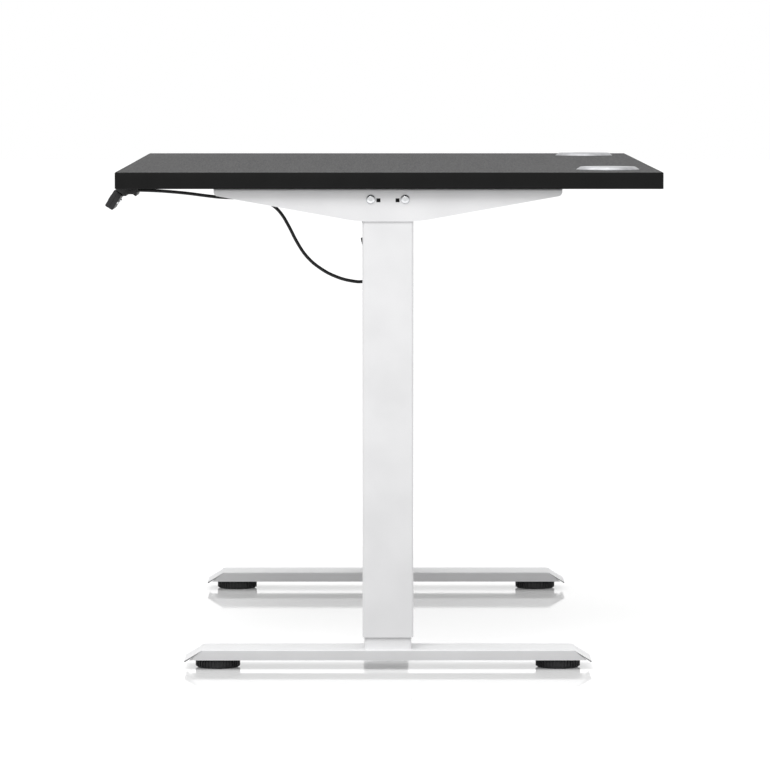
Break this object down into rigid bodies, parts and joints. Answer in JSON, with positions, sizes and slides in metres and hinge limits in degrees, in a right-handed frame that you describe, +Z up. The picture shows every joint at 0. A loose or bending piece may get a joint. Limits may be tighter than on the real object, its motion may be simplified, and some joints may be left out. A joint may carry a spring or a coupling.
{
  "type": "height adjustable standing desk",
  "caption": "Rectangular desk on two motor-driven telescopic columns with flat feet, levelling glides, front handset and cable grommets.",
  "frame": {"origin": "on the floor under the middle of the whole desk, seen from above", "axes": "+X to the user's right along the width, -Y towards the user, +Z up"},
  "size_m": [1.219, 0.7792, 0.6993],
  "materials": {
    "laminate_black": "satin",
    "edge_band_black": "satin",
    "satin_metal": "satin",
    "powder_white": "fine powder coat",
    "zinc_steel": "zinc plated",
    "bright_steel": "ground",
    "acetal_pale": "moulded",
    "nylon_black": "glass filled nylon",
    "abs_black": "fine moulded texture",
    "motor_black": "satin",
    "window_black": "polished",
    "cable_black": "pvc",
    "circuit_green": "solder mask",
    "glide_black": "ribbed"
  },
  "bodies": {
    "right_base": {"foot_right": "powder_white", "inner_tube_right": "powder_white", "lead_nut_right": "acetal_pale", "upper_bush_right": "acetal_pale", "foot_bolts_right": "zinc_steel"},
    "top_frame": {"desktop_board": "laminate_black", "desktop_edge_band": "edge_band_black", "grommet_liner_right": "satin_metal", "grommet_liner_left": "satin_metal", "side_bracket_right": "powder_white", "side_bracket_left": "powder_white", "frame_bolts": "zinc_steel", "wood_screws": "zinc_steel", "outer_tube_right": "powder_white", "outer_tube_left": "powder_white", "lower_bush_right": "acetal_pale", "lower_bush_left": "acetal_pale", "gearbox_right": "nylon_black", "gearbox_left": "nylon_black", "screw_bearings": "bright_steel", "rail_front_right": "powder_white", "rail_front_left": "powder_white", "rail_back_right": "powder_white", "rail_back_left": "powder_white", "motor_gear_case": "abs_black", "motor_can": "motor_black", "control_box_base": "abs_black", "control_box_lid": "abs_black", "control_board": "circuit_green", "case_screws": "zinc_steel", "handset_mount": "abs_black", "handset_front_shell": "abs_black", "handset_back_shell": "abs_black", "display_window": "window_black", "handset_board": "circuit_green", "handset_cable": "cable_black", "cable_connector": "abs_black"},
    "left_base": {"foot_left": "powder_white", "inner_tube_left": "powder_white", "lead_nut_left": "acetal_pale", "upper_bush_left": "acetal_pale", "foot_bolts_left": "zinc_steel"},
    "right_screw": {"lead_screw_right": "bright_steel", "screw_bevel_right": "bright_steel"},
    "left_screw": {"lead_screw_left": "bright_steel", "screw_bevel_left": "bright_steel"},
    "cross_shaft": {"drive_shaft": "bright_steel", "shaft_gear": "acetal_pale", "bevel_pinions": "bright_steel"},
    "motor_rotor": {"motor_pinion": "bright_steel"},
    "up_key": {"key_up": "abs_black"},
    "down_key": {"key_down": "abs_black"},
    "memory_key_1": {"key_memory_1": "abs_black"},
    "memory_key_2": {"key_memory_2": "abs_black"},
    "right_cap": {"grommet_cap_right": "satin_metal"},
    "left_cap": {"grommet_cap_left": "satin_metal"},
    "right_front_glide": {"glide_right_front": "glide_black"},
    "right_back_glide": {"glide_right_back": "glide_black"},
    "left_front_glide": {"glide_left_front": "glide_black"},
    "left_back_glide": {"glide_left_back": "glide_black"}
  },
  "joints": [
    {"name": "lift", "type": "slide", "parent": "right_base", "child": "top_frame", "axis": [0, 0, 1], "range_m": [0, 0.46]},
    {"name": "left_lift", "type": "slide", "parent": "top_frame", "child": "left_base", "axis": [0, 0, -1], "range_m": [0, 0.46]},
    {"name": "right_screw_turn", "type": "hinge", "parent": "top_frame", "child": "right_screw", "pos_m": [0.5574, 0.00695, 0.588], "axis": [0, 0, 1], "range_deg": [0, 20700.1]},
    {"name": "left_screw_turn", "type": "hinge", "parent": "top_frame", "child": "left_screw", "pos_m": [-0.5574, 0.00695, 0.588], "axis": [0, 0, 1], "range_deg": [0, 20700.1]},
    {"name": "cross_shaft_turn", "type": "hinge", "parent": "top_frame", "child": "cross_shaft", "pos_m": [0, 0.00695, 0.628], "axis": [1, 0, 0], "range_deg": [-20700.1, 0]},
    {"name": "motor_turn", "type": "hinge", "parent": "top_frame", "child": "motor_rotor", "pos_m": [0.4024, 0.00695, 0.6], "axis": [1, 0, 0], "range_deg": [0, 23884.72]},
    {"name": "up_key_press", "type": "slide", "parent": "top_frame", "child": "up_key", "axis": [0, 0.8499, -0.527], "range_m": [0, 0.0008], "stiffness_N_per_m": 900},
    {"name": "down_key_press", "type": "slide", "parent": "top_frame", "child": "down_key", "axis": [0, 0.8499, -0.527], "range_m": [0, 0.0008], "stiffness_N_per_m": 900},
    {"name": "memory_key_1_press", "type": "slide", "parent": "top_frame", "child": "memory_key_1", "axis": [0, 0.8499, -0.527], "range_m": [0, 0.0008], "stiffness_N_per_m": 900},
    {"name": "memory_key_2_press", "type": "slide", "parent": "top_frame", "child": "memory_key_2", "axis": [0, 0.8499, -0.527], "range_m": [0, 0.0008], "stiffness_N_per_m": 900},
    {"name": "right_cap_turn", "type": "hinge", "parent": "top_frame", "child": "right_cap", "pos_m": [0.45, 0.31855, 0.6993], "axis": [0, 0, 1], "continuous": true},
    {"name": "left_cap_turn", "type": "hinge", "parent": "top_frame", "child": "left_cap", "pos_m": [-0.45, 0.31855, 0.6993], "axis": [0, 0, 1], "continuous": true},
    {"name": "right_front_glide_adjust", "type": "slide", "parent": "right_base", "child": "right_front_glide", "axis": [0, 0, -1], "range_m": [0, 0.006]},
    {"name": "right_back_glide_adjust", "type": "slide", "parent": "right_base", "child": "right_back_glide", "axis": [0, 0, -1], "range_m": [0, 0.006]},
    {"name": "left_front_glide_adjust", "type": "slide", "parent": "left_base", "child": "left_front_glide", "axis": [0, 0, -1], "range_m": [0, 0.006]},
    {"name": "left_back_glide_adjust", "type": "slide", "parent": "left_base", "child": "left_back_glide", "axis": [0, 0, -1], "range_m": [0, 0.006]}
  ],
  "couplings": [
    {"joint": "left_lift", "follows": "lift", "ratio": 1},
    {"joint": "right_screw_turn", "follows": "lift", "rad_per_m": 785.4},
    {"joint": "left_screw_turn", "follows": "lift", "rad_per_m": 785.4},
    {"joint": "cross_shaft_turn", "follows": "lift", "rad_per_m": -785.4},
    {"joint": "motor_turn", "follows": "lift", "rad_per_m": 906.23}
  ]
}
